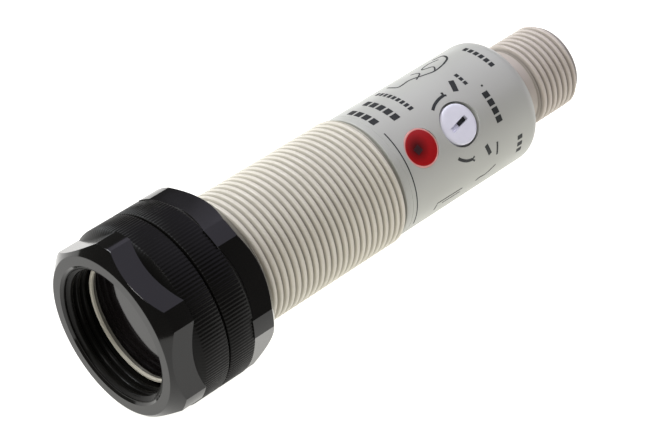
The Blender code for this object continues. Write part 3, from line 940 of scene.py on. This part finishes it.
def red_lens():
    """Clear red with a paler rim, darker over the lamp."""
    made = Surface("indicator_acrylic", (0.40, 0.007, 0.009), 0.25)
    pale = (0.86, 0.42, 0.38)
    middle = outward_frame(INDICATOR_X)
    face_height = 8.5
    rim = made.away_from(middle @ Vector((0.0, 0.0, face_height * MM)), LENS_R)
    rim = made.ramp(rim, [(0.0, made.colour), (0.905, made.colour), (0.935, pale)])
    lamp_place = Vector((*LAMP_FACE_OFF, face_height)) * MM
    glow = made.away_from(middle @ lamp_place, 1.9)
    glow = made.ramp(glow, [(0.0, (0.15, 0.3, 0.3)), (0.28, (0.25, 0.4, 0.4)), (1.0, (1.0, 1.0, 1.0))])
    made.links.new(rim, made.shader.inputs["Base Color"])
    made.multiply(glow)
    return made.grain(800.0, 0.05, 0.01).gloss(Specular_IOR_Level=0.25)


red_lens().on(indicator_lens)
dark_red = Surface("lamp_face_resin", (0.035, 0.004, 0.005), 0.3).mottle(900.0, 0.3).grain(1500.0, 0.1, 0.005)
dark_red.on(lamp_face)
acrylic = Surface("window_acrylic", (0.006, 0.005, 0.005), 0.05).mottle(60.0, 0.3).grain(500.0, 0.03, 0.004)
acrylic.on(sensing_window)

# Pieces that keep their CAD shape.
clear = Surface("lens_acrylic", (0.85, 0.86, 0.86), 0.06).mottle(200.0, 0.02).grain(900.0, 0.04, 0.004)
clear.gloss(Transmission_Weight=0.8, IOR=1.49).on(NODES["lens_block"])
rubber = Surface("seal_rubber", (0.02, 0.02, 0.02), 0.7).mottle(500.0, 0.2).grain(2600.0, 0.4, 0.02)
rubber.on(NODES["window_gasket"], NODES["adjuster_oring"])
holder = Surface("holder_moulding", (0.025, 0.025, 0.027), 0.5).mottle(300.0, 0.15).grain(2400.0, 0.3, 0.015)
holder.on(NODES["lens_holder"], NODES["connector_insert"])
infrared = Surface("infrared_resin", (0.03, 0.02, 0.045), 0.1).mottle(600.0, 0.2).grain(700.0, 0.04, 0.006)
infrared.on(NODES["emitter_led"], NODES["receiver_photodiode"])
laminate = Surface("board_laminate", (0.04, 0.22, 0.10), 0.45).mottle(1500.0, 0.15, (1.0, 6.0, 6.0))
laminate.grain(3000.0, 0.3, 0.02).on(NODES["circuit_board"])
tin = Surface("tinned_steel", (0.72, 0.71, 0.69), 0.3, 1.0).mottle(400.0, 0.06)
tin.sheen_range(700.0, 0.22, 0.4).grain(1200.0, 0.15, 0.01, (8.0, 1.0, 1.0)).on(NODES["shield_can"])
chip = Surface("component_resin", (0.035, 0.035, 0.037), 0.6).mottle(800.0, 0.2).grain(3500.0, 0.4, 0.02)
chip.on(NODES["control_ic"], NODES["output_transistor"])
sleeve = Surface("capacitor_sleeve", (0.03, 0.05, 0.11), 0.35).mottle(500.0, 0.1).grain(1500.0, 0.1, 0.01)
sleeve.on(NODES["capacitor"])
lamp = Surface("lamp_resin", (0.8, 0.79, 0.72), 0.3).mottle(700.0, 0.05).grain(1800.0, 0.1, 0.01)
lamp.on(NODES["indicator_led"])
trimmer = Surface("trimmer_moulding", (0.08, 0.18, 0.48), 0.4).mottle(500.0, 0.08).grain(2200.0, 0.2, 0.01)
trimmer.on(NODES["potentiometer_body"])
potting = Surface("potting_epoxy", (0.045, 0.045, 0.055), 0.35).mottle(250.0, 0.2).grain(350.0, 0.3, 0.05)
potting.on(NODES["potting_resin"])
gold = Surface("pin_gold", (0.86, 0.62, 0.24), 0.25, 1.0).mottle(900.0, 0.06).grain(1400.0, 0.1, 0.005)
gold.on(*(NODES["contact_pin_" + str(number)] for number in range(1, 5)))

# Floor, just under the nuts' corners, and the room's faint light.
FLOOR_Z = -12.5
FLOOR_SIZE_M = 3.0
floor_shape = bmesh.new()
bmesh.ops.create_grid(floor_shape, x_segments=4, y_segments=4, size=FLOOR_SIZE_M)
bmesh.ops.translate(floor_shape, vec=(0.0, 0.0, FLOOR_Z * MM), verts=floor_shape.verts)
floor = finish_mesh(floor_shape, "floor", outward=False)
paper = Surface("floor_paper", (0.3, 0.3, 0.3), 0.9).mottle(3.0, 0.01)
paper.gloss(Emission_Color=(1.0, 0.99, 0.94, 1.0), Emission_Strength=1.1).on(floor)

world = bpy.data.worlds.new("studio")
world.use_nodes = True
world.node_tree.nodes["Background"].inputs["Color"].default_value = (1.0, 0.98, 0.96, 1.0)
world.node_tree.nodes["Background"].inputs["Strength"].default_value = 0.10
bpy.context.scene.world = world

# Soft lights, all aimed at one place in the sensor. These lengths are in metres.
LIGHT_TARGET_M = Vector((0.030, 0.0, 0.0))
LIGHT_DISTANCE_M = 0.9


def area_light(name, direction, size, energy, colour):
    data = bpy.data.lights.new(name, "AREA")
    data.shape = "DISK"
    data.size = size
    data.energy = energy
    data.color = colour
    made = bpy.data.objects.new(name, data)
    away = Vector(direction).normalized()
    made.location = LIGHT_TARGET_M + away * LIGHT_DISTANCE_M
    made.rotation_euler = away.to_track_quat("Z", "Y").to_euler()
    bpy.context.scene.collection.objects.link(made)


area_light("key_light", (-0.35, 0.60, 0.70), 0.30, 4.8, (0.94, 0.97, 1.0))
area_light("top_light", (-0.50, -0.10, 0.86), 0.24, 2.2, (1.0, 0.98, 0.96))
area_light("sky_panel", (0.52, 0.10, 0.85), 1.58, 6.0, (0.84, 0.80, 1.0))
area_light("back_light", (0.0, 0.98, 0.2), 0.6, 2.5, (0.93, 0.97, 1.0))

# Camera. It stands before the window end, above the adjuster's side. The lens is in millimetres.
CAMERA_PLACE = (-126.861, -165.697, 195.430)
CAMERA_VIEW = (0.52495, 0.54319, -0.65527)
CAMERA_LENS = 127.624
camera_data = bpy.data.cameras.new("camera")
camera_data.lens = CAMERA_LENS
camera_data.sensor_width = 36.0
camera_data.clip_start = 0.01
camera_data.clip_end = 20.0
camera = bpy.data.objects.new("camera", camera_data)
bpy.context.scene.collection.objects.link(camera)
camera.location = Vector(CAMERA_PLACE) * MM
camera.rotation_euler = Vector(CAMERA_VIEW).to_track_quat("-Z", "Y").to_euler()
bpy.context.scene.camera = camera
bpy.context.scene.view_settings.view_transform = "Standard"
